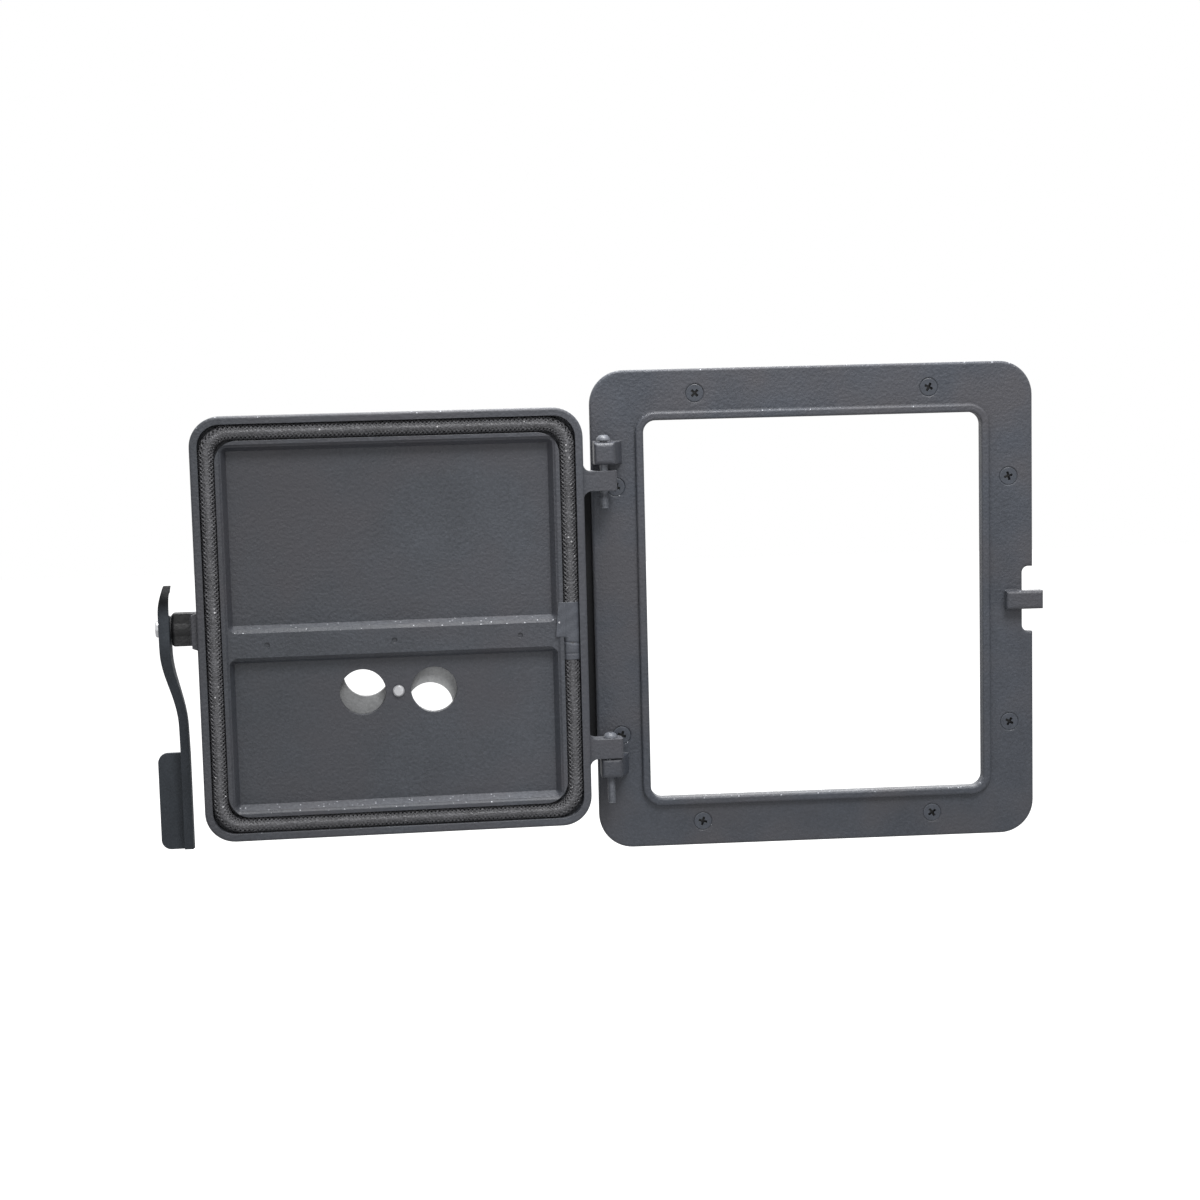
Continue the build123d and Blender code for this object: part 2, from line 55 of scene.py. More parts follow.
def onLeaf(along, up, depth):  # x along the leaf from its middle, y up, z from its inner face into the leaf
    place = Vector(leaf["hinge"]) + alongLeaf * (along + leaf["hingeToMiddle"])
    place += intoLeaf * (depth + leaf["innerFace"]) + upright * up
    turn = Matrix((alongLeaf, upright, intoLeaf)).transposed().to_4x4()
    return Matrix.Translation(place * mm) @ turn


# Short forms for building node trees
def put(tree, kind, inputs=None, **settings):
    made = tree.nodes.new(kind)
    for key, value in settings.items():
        setattr(made, key, value)
    for key, value in (inputs or {}).items():
        wire(tree, value, made.inputs[key])
    return made


def wire(tree, value, socket):
    if isinstance(value, bpy.types.NodeSocket):
        tree.links.new(value, socket)
    elif isinstance(value, bpy.types.Node):
        tree.links.new(value.outputs[0], socket)
    else:
        socket.default_value = value


def calc(tree, operation, *values):
    return put(tree, "ShaderNodeMath", dict(enumerate(values)), operation=operation).outputs[0]


def vectorCalc(tree, operation, *values):
    return put(tree, "ShaderNodeVectorMath", dict(enumerate(values)), operation=operation).outputs[0]


def scaled(tree, vector, factor):
    return put(tree, "ShaderNodeVectorMath", {0: vector, "Scale": factor}, operation="SCALE").outputs[0]


def xyz(tree, **parts):
    return put(tree, "ShaderNodeCombineXYZ", parts).outputs[0]


def mapped(tree, value, start, end, low=0.0, high=1.0):
    span = {"Value": value, "From Min": start, "From Max": end, "To Min": low, "To Max": high}
    return put(tree, "ShaderNodeMapRange", span).outputs[0]


# Materials: values that all paints share, each pair a start and an end, among them those of the painted
# highlights and the painted glints on faces that look up
surface = {"noise": (0.3, 0.7), "tint": (0.4, 0.65), "paintedTopLightUp": (0.75, 0.95), "paintedTopLightGrain": (0.5, 1.4),
           "paintedGlintUp": (0.2, 0.5), "paintedGlintReach": 0.28, "gloss": (-0.05, 0.07), "bevelRays": 4}


def newMaterial(name):
    made = bpy.data.materials.new(name)
    made.use_nodes = True
    made.node_tree.nodes.clear()
    return made, made.node_tree


def srgb(red, green, blue):  # a screen colour as linear light
    return tuple(((v / 255 + 0.055) / 1.055) ** 2.4 for v in (red, green, blue)) + (1.0,)


def noise(tree, place, scale, **inputs):
    return put(tree, "ShaderNodeTexNoise", {"Vector": place, "Scale": scale} | inputs).outputs[0]


def cells(tree, place, scale):
    return put(tree, "ShaderNodeTexVoronoi", {"Vector": place, "Scale": scale}, feature="F1").outputs


def spread(tree, value, low, high):  # a noise value widened to the span from low to high
    return mapped(tree, value, *surface["noise"], low, high)


def mixed(tree, share, colour, other):
    sockets = {0: share, 6: colour, 7: other}  # the factor and the two colours of the node
    return put(tree, "ShaderNodeMix", sockets, data_type="RGBA").outputs[2]


def tinted(tree, place, colour, look):  # slow drift of the paint towards a second colour
    drift = noise(tree, place, look["driftScale"], Detail=2.0)
    return mixed(tree, mapped(tree, drift, *surface["tint"]), colour, look["tint"])


def paintedTopLighted(tree, facingUp, grain, colour, look):  # painted highlight: paler paint on faces that look up, broken by the grain
    topLitShare = mapped(tree, facingUp, *surface["paintedTopLightUp"], 0.0, look["paintedTopLight"])
    share = calc(tree, "MULTIPLY", topLitShare, spread(tree, grain, *surface["paintedTopLightGrain"]))
    return mixed(tree, share, colour, look["paintedTopLightColour"])


def addPaintedGlints(tree, place, facingUp, colour, look):  # painted glints: bright points, thinned on faces that do not look up
    spots = cells(tree, place, look["paintedGlintScale"])
    chance = put(tree, "ShaderNodeSeparateColor", {"Color": spots["Color"]}).outputs[0]
    chosen = calc(tree, "GREATER_THAN", chance, 1 - look["paintedGlintShare"])
    near = calc(tree, "LESS_THAN", spots["Distance"], surface["paintedGlintReach"])
    there = mapped(tree, facingUp, *surface["paintedGlintUp"], look["paintedGlintFloor"], 1.0)
    picked = calc(tree, "MULTIPLY", calc(tree, "MULTIPLY", chosen, near), there)
    return mixed(tree, picked, colour, look["paintedGlintColour"])


def paint(name, look):
    made, tree = newMaterial(name)
    coords = put(tree, "ShaderNodeTexCoord").outputs
    place = coords["Object"]
    facingUp = put(tree, "ShaderNodeSeparateXYZ", {"Vector": coords["Normal"]}).outputs[2]
    cloud = noise(tree, place, look["cloudScale"], Detail=4.0)
    grain = noise(tree, place, look["grainScale"], Detail=3.0, Roughness=0.65)
    tone = spread(tree, cloud, 1 - look["cloud"], 1 + look["cloud"])
    fleck = spread(tree, grain, 1 - look["fleck"], 1 + look["fleck"])
    colour = scaled(tree, look["colour"][:3], calc(tree, "MULTIPLY", tone, fleck))
    if "tint" in look:
        colour = tinted(tree, place, colour, look)
    if "paintedTopLight" in look:
        colour = paintedTopLighted(tree, facingUp, grain, colour, look)
    if "paintedGlintShare" in look:
        colour = addPaintedGlints(tree, place, facingUp, colour, look)
    along = put(tree, "ShaderNodeSeparateXYZ", {"Vector": place}).outputs
    for axis, start, end, low, high in look.get("paintedShadingRamps", ()):  # painted shade and light along an axis
        colour = scaled(tree, colour, mapped(tree, along[axis], start, end, low, high))
    pits = cells(tree, place, look["pitScale"])["Distance"]
    height = calc(tree, "MULTIPLY_ADD", pits, look["pitShare"], grain)
    soft = put(tree, "ShaderNodeBevel", {"Radius": look["edge"] * mm}, samples=surface["bevelRays"])
    bump = put(tree, "ShaderNodeBump", {"Height": height, "Strength": look["bump"],
                                        "Distance": look["bumpDepth"] * mm, "Normal": soft})
    sharper, duller = surface["gloss"]
    gloss = spread(tree, cloud, look["rough"] + sharper, look["rough"] + duller)
    shader = put(tree, "ShaderNodeBsdfPrincipled", {"Base Color": colour, "Normal": bump, "Roughness": gloss})
    shader.inputs["Specular IOR Level"].default_value = look["shine"]
    shader.inputs["Metallic"].default_value = look.get("metal", 0.0)
    put(tree, "ShaderNodeOutputMaterial", {"Surface": shader})
    return made


# Castings under heat-proof paint. A ramp of painted light and shade is axis, start, end and the shade at each,
# in metres
casting = {"cloud": 0.1, "fleck": 0.16, "pitShare": 0.5, "bump": 0.5, "bumpDepth": 0.5, "rough": 0.5,
           "shine": 0.4, "edge": 0.3}
castPaint = paint("castPaint", casting | {
    "colour": srgb(66, 70, 78), "tint": srgb(71, 71, 76), "driftScale": 22.0, "cloudScale": 45.0,
    "cloud": 0.09, "grainScale": 620.0, "pitScale": 520.0, "bump": 0.6, "rough": 0.46, "shine": 0.5,
    # painted glints on the plate's faces that look up
    "edge": 1.3, "paintedGlintShare": 0.1, "paintedGlintScale": 640.0, "paintedGlintColour": srgb(190, 193, 200),
    # painted light and shade: the plate paler at the top, darker at the bottom
    "paintedGlintFloor": 0.0, "paintedShadingRamps": [(2, -0.149, 0.149, 0.86, 1.06)]})
leafPaint = paint("leafPaint", casting | {
    "colour": srgb(63, 66, 72), "tint": srgb(66, 66, 71), "driftScale": 18.0, "cloudScale": 30.0,
    "grainScale": 560.0, "fleck": 0.18, "pitScale": 480.0, "bump": 0.65, "rough": 0.48, "shine": 0.45,
    # painted highlight: the leaf paler on faces that look up
    "edge": 0.5, "paintedTopLight": 0.22, "paintedTopLightColour": srgb(150, 152, 157),
    # painted glints on the leaf's faces that look up
    "paintedGlintShare": 0.08, "paintedGlintScale": 640.0, "paintedGlintColour": srgb(180, 182, 188), "paintedGlintFloor": 0.0,
    "paintedShadingRamps": [(0, -0.3822, -0.3812, 0.12, 1.0),  # painted shade on the set-back latch lug
              # painted light and shade: the leaf darker at its latch end, paler towards the hinge
              (0, -0.378, -0.15, 0.82, 1.18)]})
# painted shade: near-black paint on the angle frame, whose strip fills the shaded slot between leaf and plate
angleFramePaintedShade = paint("angleFramePaintedShade", casting | {
    "colour": srgb(24, 25, 27), "cloudScale": 40.0, "grainScale": 700.0, "fleck": 0.12, "pitScale": 600.0,
    "pitShare": 0.4, "bump": 0.4, "bumpDepth": 0.3, "rough": 0.6, "shine": 0.25})
leverPaint = paint("leverPaint", casting | {
    "colour": srgb(57, 61, 66), "cloudScale": 60.0, "cloud": 0.08, "grainScale": 700.0, "fleck": 0.14,
    "pitScale": 600.0, "pitShare": 0.4, "bumpDepth": 0.4, "rough": 0.58, "shine": 0.14,
    "paintedShadingRamps": [(2, 0.018, 0.008, 0.1, 1.0)]})  # painted shade darkening the claw's tip
discPaint = paint("discPaint", casting | {
    "colour": srgb(142, 143, 144), "cloudScale": 70.0, "cloud": 0.12, "grainScale": 600.0, "pitScale": 500.0,
    # painted light and shade: the disc darker at its left, paler at its right
    "bumpDepth": 0.4, "paintedShadingRamps": [(0, -0.285, -0.235, 0.84, 1.32)]})

# Screws, pins and washers
fastener = {"cloud": 0.12, "fleck": 0.12, "pitScale": 900.0, "edge": 0.2}
painted = fastener | {"cloudScale": 200.0, "grainScale": 900.0, "pitShare": 0.3, "bump": 0.3,
                      "bumpDepth": 0.2, "shine": 0.55}
plated = fastener | {"cloudScale": 150.0, "grainScale": 1200.0, "pitShare": 0.2, "bump": 0.15,
                     "bumpDepth": 0.1}
screwPaint = paint("screwPaint", painted | {
    "colour": srgb(66, 70, 78), "cloud": 0.14, "rough": 0.36,
    "paintedShadingRamps": [(1, -0.0044, -0.0051, 0.1, 1.0)]})  # painted shade in the cross recess and the gap round the head
pinPaint = paint("pinPaint", painted | {"colour": srgb(102, 105, 112), "rough": 0.38})
zincPlate = paint("zincPlate", plated | {
    "colour": srgb(206, 207, 210), "cloud": 0.08, "fleck": 0.06, "rough": 0.36, "shine": 0.5, "metal": 0.7})
# painted shade: the washer in the gap between lever and lug made dark
washerPaintedShade = paint("washerPaintedShade", plated | {"colour": srgb(62, 62, 64), "rough": 0.5, "shine": 0.4})

# Rope and cloth, painted over, with painted glints on every face
fibre = {"pitScale": 900.0, "edge": 0.1, "paintedGlintFloor": 1.0}
ropePaint = paint("ropePaint", fibre | {
    "colour": srgb(80, 80, 83), "cloudScale": 130.0, "cloud": 0.16, "grainScale": 620.0, "fleck": 0.42,
    "pitShare": 0.8, "bump": 0.9, "bumpDepth": 0.5, "rough": 0.4, "shine": 0.5,
    # painted glints on the rope
    "paintedGlintShare": 0.022, "paintedGlintScale": 560.0, "paintedGlintColour": srgb(190, 190, 192)})
patchPaint = paint("patchPaint", fibre | {
    "colour": srgb(80, 83, 90), "cloudScale": 120.0, "cloud": 0.1, "grainScale": 1100.0, "fleck": 0.16,
    "pitShare": 0.4, "bump": 0.5, "bumpDepth": 0.3, "rough": 0.5, "shine": 0.4,
    # painted glints on the cloth
    "paintedGlintShare": 0.02, "paintedGlintScale": 480.0, "paintedGlintColour": srgb(190, 190, 194)})
print("materials made")

nodePaint = {"frame_plate": castPaint, "angle_frame": angleFramePaintedShade, "frame_screws": screwPaint,
             "frame_nuts": zincPlate, "upper_hinge_pin": pinPaint, "lower_hinge_pin": pinPaint,
             "door_leaf": leafPaint, "sealing_rope": ropePaint, "rope_patch": patchPaint,
             "latch_lever": leverPaint, "latch_bolt": zincPlate, "latch_washer": washerPaintedShade,
             "air_disc": discPaint, "air_bolt": zincPlate, "air_washer": zincPlate}


def dress(mesh, material):
    mesh.materials.clear()
    mesh.materials.append(material)


for name, material in nodePaint.items():
    dress(nodes[name].data, material)
print("solids dressed")


# Node trees for what repeats or follows a path
def startTree(name, inputs):
    tree = bpy.data.node_groups.new(name, "GeometryNodeTree")
    tree.interface.new_socket(name="Geometry", in_out="OUTPUT", socket_type="NodeSocketGeometry")
    for label, kind in inputs.items():
        tree.interface.new_socket(name=label, in_out="INPUT", socket_type="NodeSocket" + kind)
    return tree, tree.nodes.new("NodeGroupInput").outputs


def endTree(tree, geometry, material):
    real = put(tree, "GeometryNodeRealizeInstances", {"Geometry": geometry})
    coated = put(tree, "GeometryNodeSetMaterial", {"Geometry": real, "Material": material})
    put(tree, "NodeGroupOutput", {"Geometry": coated})
    return tree


def join(tree, *parts):
    joined = put(tree, "GeometryNodeJoinGeometry")
    for part in parts:
        wire(tree, part, joined.inputs[0])
    return joined


def newPiece(name, mesh):
    mesh.name = name
    piece = bpy.data.objects.new(name, mesh)
    bpy.context.scene.collection.objects.link(piece)
    return piece


def asMesh(carrier):  # the evaluated object as a plain mesh, and the carrier goes
    made = bpy.data.meshes.new_from_object(carrier.evaluated_get(bpy.context.evaluated_depsgraph_get()))
    bpy.data.objects.remove(carrier)
    return made


def grown(name, tree, values, place=None, start=None):  # the tree's result, put at its place
    carrier = newPiece(name + "Start", start or bpy.data.meshes.new(name + "Start"))
    modifier = carrier.modifiers.new("grow", "NODES")
    modifier.node_group = tree
    for item in tree.interface.items_tree:
        if item.in_out == "INPUT" and item.name in values:
            modifier[item.identifier] = values[item.name]
    made = asMesh(carrier)
    if place:
        made.transform(place)
    return newPiece(name, made)


def standsFor(piece, node, body):
    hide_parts(node)
    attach(piece, body)


# Braided rope: yarns of both hands cross over and under each other round a core
rope = {"Width": 214.8 * mm, "Height": 236.3 * mm, "Corner": 13.3 * mm, "Corner Points": 16,
        "Pairs": 8, "Turns": 44, "Half Width": 4.1 * mm, "Half Depth": 3.2 * mm, "Fullness": 2.2,
        "Yarn": 0.68 * mm, "Yarn Sides": 4, "Weave": 0.26 * mm, "Points": 1340,
        "Core": 0.98, "Core Sides": 16, "Core Points": 320, "Material": ropePaint}
ropeMiddle = 4.35  # how deep the rope's middle lies behind the leaf's inner face


def superellipse(tree, given, side, up):  # what a direction is divided by to end on the rounded section
    sideShare = calc(tree, "POWER", calc(tree, "ABSOLUTE", side), given["Fullness"])
    upShare = calc(tree, "POWER", calc(tree, "ABSOLUTE", up), given["Fullness"])
    root = calc(tree, "DIVIDE", 1.0, given["Fullness"])
    return calc(tree, "POWER", calc(tree, "ADD", sideShare, upShare), root)


def yarnShift(tree, given, index):  # where each point of a yarn stands off the rope's path
    way = calc(tree, "MULTIPLY_ADD", calc(tree, "MODULO", index, 2.0), 2.0, -1.0)
    share = put(tree, "GeometryNodeSplineParameter").outputs["Factor"]
    spin = calc(tree, "MULTIPLY", calc(tree, "MULTIPLY", share, given["Turns"]), math.tau)
    step = calc(tree, "DIVIDE", calc(tree, "FLOOR", calc(tree, "DIVIDE", index, 2.0)), given["Pairs"])
    turn = calc(tree, "MULTIPLY_ADD", spin, way, calc(tree, "MULTIPLY", step, math.tau))
    over = calc(tree, "MULTIPLY", calc(tree, "COSINE", calc(tree, "MULTIPLY", spin, given["Pairs"])), way)
    lift = calc(tree, "MULTIPLY", over, given["Weave"])
    side = calc(tree, "COSINE", turn)
    up = calc(tree, "SINE", turn)
    full = superellipse(tree, given, side, up)
    halfWidth = calc(tree, "DIVIDE", calc(tree, "ADD", given["Half Width"], lift), full)
    halfDepth = calc(tree, "DIVIDE", calc(tree, "ADD", given["Half Depth"], lift), full)
    tangent = put(tree, "GeometryNodeInputTangent").outputs[0]
    across = vectorCalc(tree, "CROSS_PRODUCT", tangent, (0.0, 0.0, 1.0))
    shift = scaled(tree, across, calc(tree, "MULTIPLY", side, halfWidth))
    return vectorCalc(tree, "ADD", shift, xyz(tree, Z=calc(tree, "MULTIPLY", up, halfDepth)))


def ropeTree():
    tree, given = startTree("braid", {
        "Width": "Float", "Height": "Float", "Corner": "Float", "Corner Points": "Int", "Pairs": "Int",
        "Turns": "Int", "Half Width": "Float", "Half Depth": "Float", "Fullness": "Float", "Yarn": "Float",
        "Yarn Sides": "Int", "Weave": "Float", "Points": "Int", "Core": "Float", "Core Sides": "Int",
        "Core Points": "Int", "Material": "Material"})
    box = put(tree, "GeometryNodeCurvePrimitiveQuadrilateral", {"Width": given["Width"],
                                                                "Height": given["Height"]})
    bent = put(tree, "GeometryNodeFilletCurve", {"Curve": box, "Radius": given["Corner"],
                                                 "Count": given["Corner Points"]}, mode="POLY")
    path = put(tree, "GeometryNodeResampleCurve", {"Curve": bent, "Count": given["Points"]})
    count = calc(tree, "MULTIPLY", given["Pairs"], 2.0)
    yarns = put(tree, "GeometryNodeDuplicateElements", {"Geometry": path, "Amount": count}, domain="SPLINE")
    keep = put(tree, "GeometryNodeCaptureAttribute", {"Geometry": yarns})
    keep.capture_items.new("VECTOR", "shift")
    wire(tree, yarnShift(tree, given, yarns.outputs["Duplicate Index"]), keep.inputs[1])
    laid = put(tree, "GeometryNodeSetPosition", {"Geometry": keep.outputs[0], "Offset": keep.outputs[1]})
    section = put(tree, "GeometryNodeCurvePrimitiveCircle", {"Resolution": given["Yarn Sides"],
                                                             "Radius": given["Yarn"]})
    yarn = put(tree, "GeometryNodeCurveToMesh", {"Curve": laid, "Profile Curve": section})
    coarse = put(tree, "GeometryNodeResampleCurve", {"Curve": bent, "Count": given["Core Points"]})
    coreWay = put(tree, "GeometryNodeSetCurveNormal", {"Curve": coarse}, mode="Z_UP")
    circle = put(tree, "GeometryNodeCurvePrimitiveCircle", {"Resolution": given["Core Sides"],
                                                            "Radius": given["Core"]})
    stretch = xyz(tree, X=given["Half Depth"], Y=given["Half Width"], Z=1.0)
    oval = put(tree, "GeometryNodeTransform", {"Geometry": circle, "Scale": stretch})
    inside = put(tree, "GeometryNodeCurveToMesh", {"Curve": coreWay, "Profile Curve": oval})
    smooth = put(tree, "GeometryNodeSetShadeSmooth", {"Geometry": join(tree, yarn, inside)})
    return endTree(tree, smooth, given["Material"])


ropePiece = grown("braided_rope", ropeTree(), rope, onLeaf(0, 0, ropeMiddle))
standsFor(ropePiece, "sealing_rope", "door")
print("rope braided", len(ropePiece.data.polygons))

# Cloth patch that wraps the joint of the rope, with a slanted flap over the rib. Along and up are places
# on the leaf, and a depth grows into the leaf
patch = {"start": -112.0, "end": -102.7, "low": -25.2, "high": 10.0, "thick": 0.3, "columns": 46, "rows": 110,
         "ropeAlong": -107.4, "ropeHalf": 4.95, "ropeHigh": 3.95, "fullness": 2.3, "off": 0.18,
         "deepest": 2.2, "wave": 0.06, "waveUp": 0.9, "waveAlong": 0.5}
flap = {"low": -11.5, "step": 0.5, "blend": 1.2, "top": 3.2, "foot": 5.2, "ribDepth": 0.2, "ribStart": 2.6,
        "ribBlend": 2.0, "fold": 0.35, "foldBack": 0.7, "foldSlope": 0.05, "foldWidth": 0.45}
creases = [{"up": -14.5, "slope": 0.12, "from": -105.0, "deep": 0.55, "wide": 0.7},
           {"up": -21.5, "slope": 0.0, "from": -105.0, "deep": 0.3, "wide": 0.5}]


def held(value):
    return max(0.0, min(1.0, value))


def swell(distance, width):  # 1 in the middle, fading within about the width
    return math.exp(-(distance / width) ** 2)


def patchDepth(along, up):
    offset = min(abs(along - patch["ropeAlong"]) / patch["ropeHalf"], 0.999)  # just short of the rope's side
    crown = ropeMiddle - patch["ropeHigh"] * (1 - offset ** patch["fullness"]) ** (1 / patch["fullness"])
    side = held((along - patch["end"] + flap["ribStart"]) / flap["ribBlend"])
    inFlap = held((up - flap["low"]) / flap["blend"] + 0.5)
    lying = (crown - patch["off"]) * (1 - side * inFlap) + flap["ribDepth"] * side * inFlap
    depth = min(lying, patch["deepest"])
    for crease in creases:
        line = crease["up"] + crease["slope"] * (along - crease["from"])
        depth += crease["deep"] * swell(up - line, crease["wide"])
    fold = along - patch["end"] + flap["foldBack"] + flap["foldSlope"] * up
    depth -= flap["fold"] * swell(fold, flap["foldWidth"]) * inFlap
    return depth + patch["wave"] * math.sin(patch["waveUp"] * up + patch["waveAlong"] * along)


def patchEnd(up):  # where a row of the cloth stops: further out in the flap, and most at its foot
    foot = (patch["high"] - up) / (patch["high"] - flap["low"])
    reach = flap["top"] + (flap["foot"] - flap["top"]) * foot
    return patch["end"] + held((up - flap["low"]) / flap["step"]) * reach


def finished(shape, name):  # the bmesh as a plain mesh
    mesh = bpy.data.meshes.new(name)
    shape.to_mesh(mesh)
    shape.free()
    return mesh


def patchMesh():
    made = bmesh.new()
    rows = []
    for row in range(patch["rows"] + 1):
        up = patch["low"] + (patch["high"] - patch["low"]) * row / patch["rows"]
        wide = patchEnd(up) - patch["start"]
        places = [patch["start"] + wide * column / patch["columns"] for column in range(patch["columns"] + 1)]
        rows.append([made.verts.new(Vector((along, up, patchDepth(along, up))) * mm) for along in places])
    for lower, upper in zip(rows, rows[1:]):
        for k in range(patch["columns"]):
            made.faces.new((lower[k], upper[k], upper[k + 1], lower[k + 1]))
    mesh = finished(made, "patchSheet")
    mesh.shade_smooth()
    return mesh


patchSheet = newPiece("patchSheet", patchMesh())
thick = patchSheet.modifiers.new("thick", "SOLIDIFY")
thick.thickness = patch["thick"] * mm
thick.offset = 0.0
patchDone = asMesh(patchSheet)
patchDone.transform(onLeaf(0, 0, 0))
dress(patchDone, patchPaint)
standsFor(newPiece("wrapped_joint", patchDone), "rope_patch", "door")
print("joint of the rope wrapped")


# Screws: a turned body, a cross cut into its head and a thread wound on its shank
def lathe(name, profile, sides=48):  # profile of (radius, height) from the top down, in millimetres
    made = bmesh.new()
    rings = []
    for radius, height in profile:
        corners = sides if radius else 1
        angles = [math.tau * k / sides for k in range(corners)]
        rings.append([made.verts.new(Vector((radius * math.cos(a), radius * math.sin(a), height)) * mm)
                      for a in angles])
    for upper, lower in zip(rings, rings[1:]):
        for k in range(sides):
            after = (k + 1) % sides
            corners = [upper[k % len(upper)], upper[after % len(upper)], lower[after % len(lower)],
                       lower[k % len(lower)]]
            made.faces.new([c for n, c in enumerate(corners) if c not in corners[:n]])
    bmesh.ops.recalc_face_normals(made, faces=made.faces)
    return finished(made, name)


def screwTree():
    tree, given = startTree("screw", {
        "Body": "Geometry", "Slot": "Float", "Span": "Float", "Cross Depth": "Float", "Top": "Float",
        "Core": "Float", "Pitch": "Float", "Ridge": "Float", "Ridge Sides": "Int", "Turns": "Float",
        "Turn Points": "Int", "Thread Top": "Float", "Material": "Material"})
    cutter = put(tree, "GeometryNodeMeshBoolean", operation="UNION", solver="EXACT")
    top = xyz(tree, Z=given["Top"])
    for size, other in (("Span", "Slot"), ("Slot", "Span")):
        box = xyz(tree, X=given[size], Y=given[other], Z=given["Cross Depth"])
        cube = put(tree, "GeometryNodeMeshCube", {"Size": box})
        wire(tree, put(tree, "GeometryNodeTransform", {"Geometry": cube, "Translation": top}),
             cutter.inputs["Mesh 2"])
    cut = put(tree, "GeometryNodeMeshBoolean", {"Mesh 1": given["Body"]}, operation="DIFFERENCE",
              solver="EXACT")
    wire(tree, cutter, cut.inputs["Mesh 2"])
    length = calc(tree, "MULTIPLY", given["Turns"], given["Pitch"])
    wound = put(tree, "GeometryNodeCurveSpiral", {
        "Resolution": given["Turn Points"], "Rotations": given["Turns"], "Height": length,
        "Start Radius": given["Core"], "End Radius": given["Core"]})
    helix = put(tree, "GeometryNodeSetCurveNormal", {"Curve": wound}, mode="Z_UP")
    reach = calc(tree, "MULTIPLY", given["Pitch"], given["Ridge"])
    ridge = put(tree, "GeometryNodeCurvePrimitiveCircle", {"Resolution": given["Ridge Sides"],
                                                           "Radius": reach})
    thread = put(tree, "GeometryNodeCurveToMesh", {"Curve": helix, "Profile Curve": ridge, "Fill Caps": True})
    low = xyz(tree, Z=calc(tree, "SUBTRACT", given["Thread Top"], length))
    placed = put(tree, "GeometryNodeTransform", {"Geometry": thread, "Translation": low})
    return endTree(tree, join(tree, cut, placed), given["Material"])


def scatterTree():
    tree, given = startTree("scatter", {"Places": "Geometry", "Piece": "Object", "Tilt": "Vector",
                                        "Seed": "Int", "Material": "Material"})
    single = put(tree, "GeometryNodeObjectInfo", {"Object": given["Piece"]}).outputs["Geometry"]
    spots = put(tree, "GeometryNodeInstanceOnPoints", {"Points": given["Places"], "Instance": single,
                                                       "Rotation": given["Tilt"]})
    chance = put(tree, "FunctionNodeRandomValue", {"Min": 0.0, "Max": math.tau, "Seed": given["Seed"]},
                 data_type="FLOAT")
    value = [o for o in chance.outputs if o.enabled][0]
    turned = put(tree, "GeometryNodeRotateInstances", {"Instances": spots, "Rotation": xyz(tree, Z=value)})
    return endTree(tree, turned, given["Material"])


screwMaker = screwTree()
thread = {"Ridge": 0.46, "Ridge Sides": 4, "Turn Points": 24}  # the ridge as a share of the pitch
frameScrew = thread | {
    "profile": [(0, -0.1), (5.0, -0.1), (5.4, -0.25), (5.5, -0.5), (2.9, -3.1), (2.62, -3.3), (2.62, -15.6),
                (2.2, -16), (0, -16)],
    "Slot": 1.5 * mm, "Span": 5.4 * mm, "Cross Depth": 5.6 * mm, "Top": 0.0, "Core": 2.6 * mm,
    "Pitch": 1.0 * mm, "Turns": 12.0, "Thread Top": -3.9 * mm, "Material": screwPaint}
oneScrew = grown("oneScrew", screwMaker, frameScrew, start=lathe("frameScrewBody", frameScrew["profile"]))
screwPlaces = {"pairs": [(72.65, 133.5), (122.4, 77.25)], "front": -5.5}  # across and up, and the plate's face
scatter = {"Piece": oneScrew, "Tilt": (math.pi / 2, 0.0, 0.0), "Seed": 4, "Material": screwPaint}
spots = bpy.data.meshes.new("screwPlaces")
spots.from_pydata([Vector((x * side, screwPlaces["front"], z * up)) * mm for x, z in screwPlaces["pairs"]
                   for side in (-1, 1) for up in (-1, 1)], [], [])
screws = grown("cross_screws", scatterTree(), scatter, start=spots)
bpy.data.objects.remove(oneScrew)
standsFor(screws, "frame_screws", "frame")
print("frame screws made", len(screws.data.polygons))

pinPitch = 0.8
pin = thread | {
    "head": [(0, 3.6), (1.2, 3.52), (2.3, 3.2), (3.2, 2.6), (3.85, 1.8), (4.2, 0.9), (4.28, 0.2), (4.1, 0)],
    "shank": 2.42, "root": 2.1, "point": 1.7, "sides": 32,
    "seat": 0.02, "neck": 0.4, "tip": 0.5, "spareTurns": 0.8, "runOut": 0.3,
    "Slot": 0.9 * mm, "Span": 3.6 * mm, "Cross Depth": 2.6 * mm, "Top": 3.6 * mm, "Core": 2.15 * mm,
    "Pitch": pinPitch * mm, "Material": pinPaint}
pinPlaces = {
    "upper_pin": {"node": "upper_hinge_pin", "body": "frame", "top": 106.45, "length": 41.2, "turns": 12},
    "lower_pin": {"node": "lower_hinge_pin", "body": "door", "top": -76.25, "length": 40.7, "turns": 20}}
for name, spot in pinPlaces.items():
    foot = -spot["length"]
    neck = foot + pinPitch * spot["turns"]  # where the thread begins
    profile = pin["head"] + [
        (pin["shank"], -pin["seat"]), (pin["shank"], neck), (pin["root"], neck - pin["neck"]),
        (pin["root"], foot + pin["tip"]), (pin["point"], foot), (0, foot)]
    values = pin | {"Turns": spot["turns"] - pin["spareTurns"], "Thread Top": (neck - pin["runOut"]) * mm}
    place = Matrix.Translation(Vector((leaf["hinge"][0], leaf["hinge"][1], spot["top"])) * mm)
    made = grown(name, screwMaker, values, place, lathe(name + "Body", profile, pin["sides"]))
    standsFor(made, spot["node"], spot["body"])
print("hinge pins made")

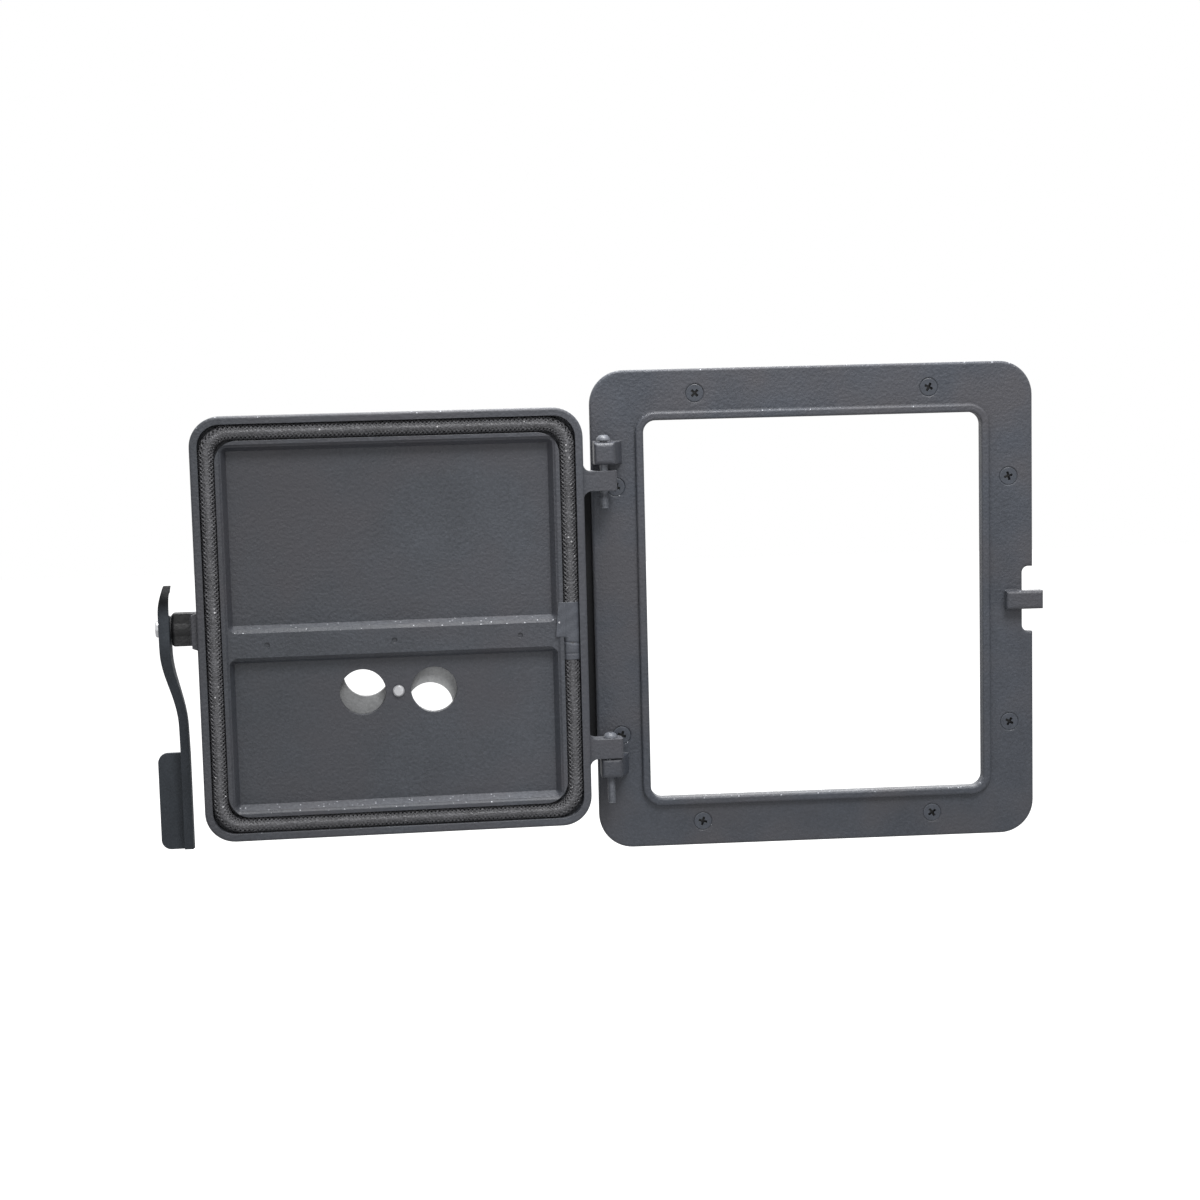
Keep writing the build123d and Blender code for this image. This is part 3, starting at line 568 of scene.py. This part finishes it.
# Lever with its edges rounded
lever = {"edge": 0.9, "steps": 3, "angle": 38.0, "weld": 0.002, "flatWithin": 1.0}
rough = bmesh.new()
rough.from_mesh(nodes["latch_lever"].data)
bmesh.ops.remove_doubles(rough, verts=rough.verts, dist=lever["weld"] * mm)
bmesh.ops.dissolve_limit(rough, angle_limit=math.radians(lever["flatWithin"]), verts=rough.verts,
                         edges=rough.edges)
leverStart = finished(rough, "leverStart")
leverStart.shade_smooth()
leverRough = newPiece("leverRough", leverStart)
bevel = leverRough.modifiers.new("edges", "BEVEL")
bevel.width = lever["edge"] * mm
bevel.segments = lever["steps"]
bevel.angle_limit = math.radians(lever["angle"])
bevel.harden_normals = True
leverDone = asMesh(leverRough)
dress(leverDone, leverPaint)
standsFor(newPiece("rounded_lever", leverDone), "latch_lever", "latch")
print("lever rounded")

# White floor that glows to the camera alone and keeps the object's shadow near it
scene = bpy.context.scene
scene.view_settings.view_transform = "Standard"
floor = {"height": -0.62, "size": 14.0, "shade": 0.45, "near": 0.5, "nearGlow": 0.55, "far": 1.3,
         "farGlow": 1.0}
white = (1, 1, 1, 1)
floorWhite, tree = newMaterial("floorWhite")
cameraRay = put(tree, "ShaderNodeLightPath").outputs["Is Camera Ray"]
distance = put(tree, "ShaderNodeVectorMath", {0: put(tree, "ShaderNodeTexCoord").outputs["Object"]},
               operation="LENGTH").outputs["Value"]
level = mapped(tree, distance, floor["near"], floor["far"], floor["nearGlow"], floor["farGlow"])
glow = put(tree, "ShaderNodeEmission", {"Color": white, "Strength": calc(tree, "MULTIPLY", level, cameraRay)})
plain = put(tree, "ShaderNodeBsdfDiffuse", {"Color": (floor["shade"],) * 3 + (1,)})
both = put(tree, "ShaderNodeAddShader", {0: glow, 1: plain})
put(tree, "ShaderNodeOutputMaterial", {"Surface": both})
floorMesh = bpy.data.meshes.new("floor")
half = floor["size"] / 2
floorMesh.from_pydata([(-half, -half, floor["height"]), (half, -half, floor["height"]),
                       (half, half, floor["height"]), (-half, half, floor["height"])], [], [(0, 1, 2, 3)])
floorMesh.materials.append(floorWhite)
newPiece("floor", floorMesh)

# Sky: full white where it is seen or mirrored, and weaker as light
around = {"strength": 0.42, "seen": 1.0}
world = bpy.data.worlds.new("world")
scene.world = world
world.use_nodes = True
tree = world.node_tree
tree.nodes.clear()
rays = put(tree, "ShaderNodeLightPath").outputs
seen = calc(tree, "MAXIMUM", calc(tree, "MAXIMUM", rays["Is Camera Ray"], rays["Is Transmission Ray"]),
            rays["Is Glossy Ray"])
level = mapped(tree, seen, 0.0, 1.0, around["strength"], around["seen"])
sky = put(tree, "ShaderNodeBackground", {"Color": white, "Strength": level})
put(tree, "ShaderNodeOutputWorld", {"Surface": sky})

lamps = {"key": {"place": (0.3, -1.3, 1.7), "target": (-0.05, 0, 0), "size": 0.9, "power": 34.0},
         "top": {"place": (-0.2, 0.0, 1.6), "target": (-0.1, 0, 0), "size": 0.9, "power": 36.0},
         "fill": {"place": (-0.9, -1.8, 0.3), "target": (-0.15, 0, 0), "size": 1.4, "power": 4.0},
         "back": {"place": (0.3, 1.6, 0.8), "target": (-0.1, 0, 0), "size": 1.2, "power": 10.0}}
for name, lamp in lamps.items():
    data = bpy.data.lights.new(name, "AREA")
    data.shape = "DISK"
    data.size = lamp["size"]
    data.energy = lamp["power"]
    made = bpy.data.objects.new(name, data)
    scene.collection.objects.link(made)
    made.location = lamp["place"]
    made.rotation_euler = (Vector(lamp["target"]) - Vector(lamp["place"])).to_track_quat("-Z", "Y").to_euler()

# Camera at the photograph's angle: turn is an axis times its angle, from looking along +Y
camera = {"place": (-0.22084, -1.34292, 0.15516), "turn": (-0.1087, 0.0282, -0.0662), "focal": 2183.19,
          "pixels": 1200, "sensor": 36.0, "near": 0.01, "far": 100.0}
spin = Vector(camera["turn"])
facingWall = Matrix(((1, 0, 0), (0, 0, 1), (0, -1, 0)))
look = Matrix.Rotation(spin.length, 3, spin.normalized()) @ facingWall
data = bpy.data.cameras.new("camera")
data.sensor_width = camera["sensor"]
data.lens = camera["sensor"] * camera["focal"] / camera["pixels"]
data.clip_start = camera["near"]
data.clip_end = camera["far"]
cameraObject = bpy.data.objects.new("camera", data)
scene.collection.objects.link(cameraObject)
axes = (look.col[0], -look.col[1], -look.col[2])
cameraObject.matrix_world = Matrix.Translation(camera["place"]) @ Matrix(axes).transposed().to_4x4()
scene.camera = cameraObject
print("stage, lamps and camera set")

writeSize()
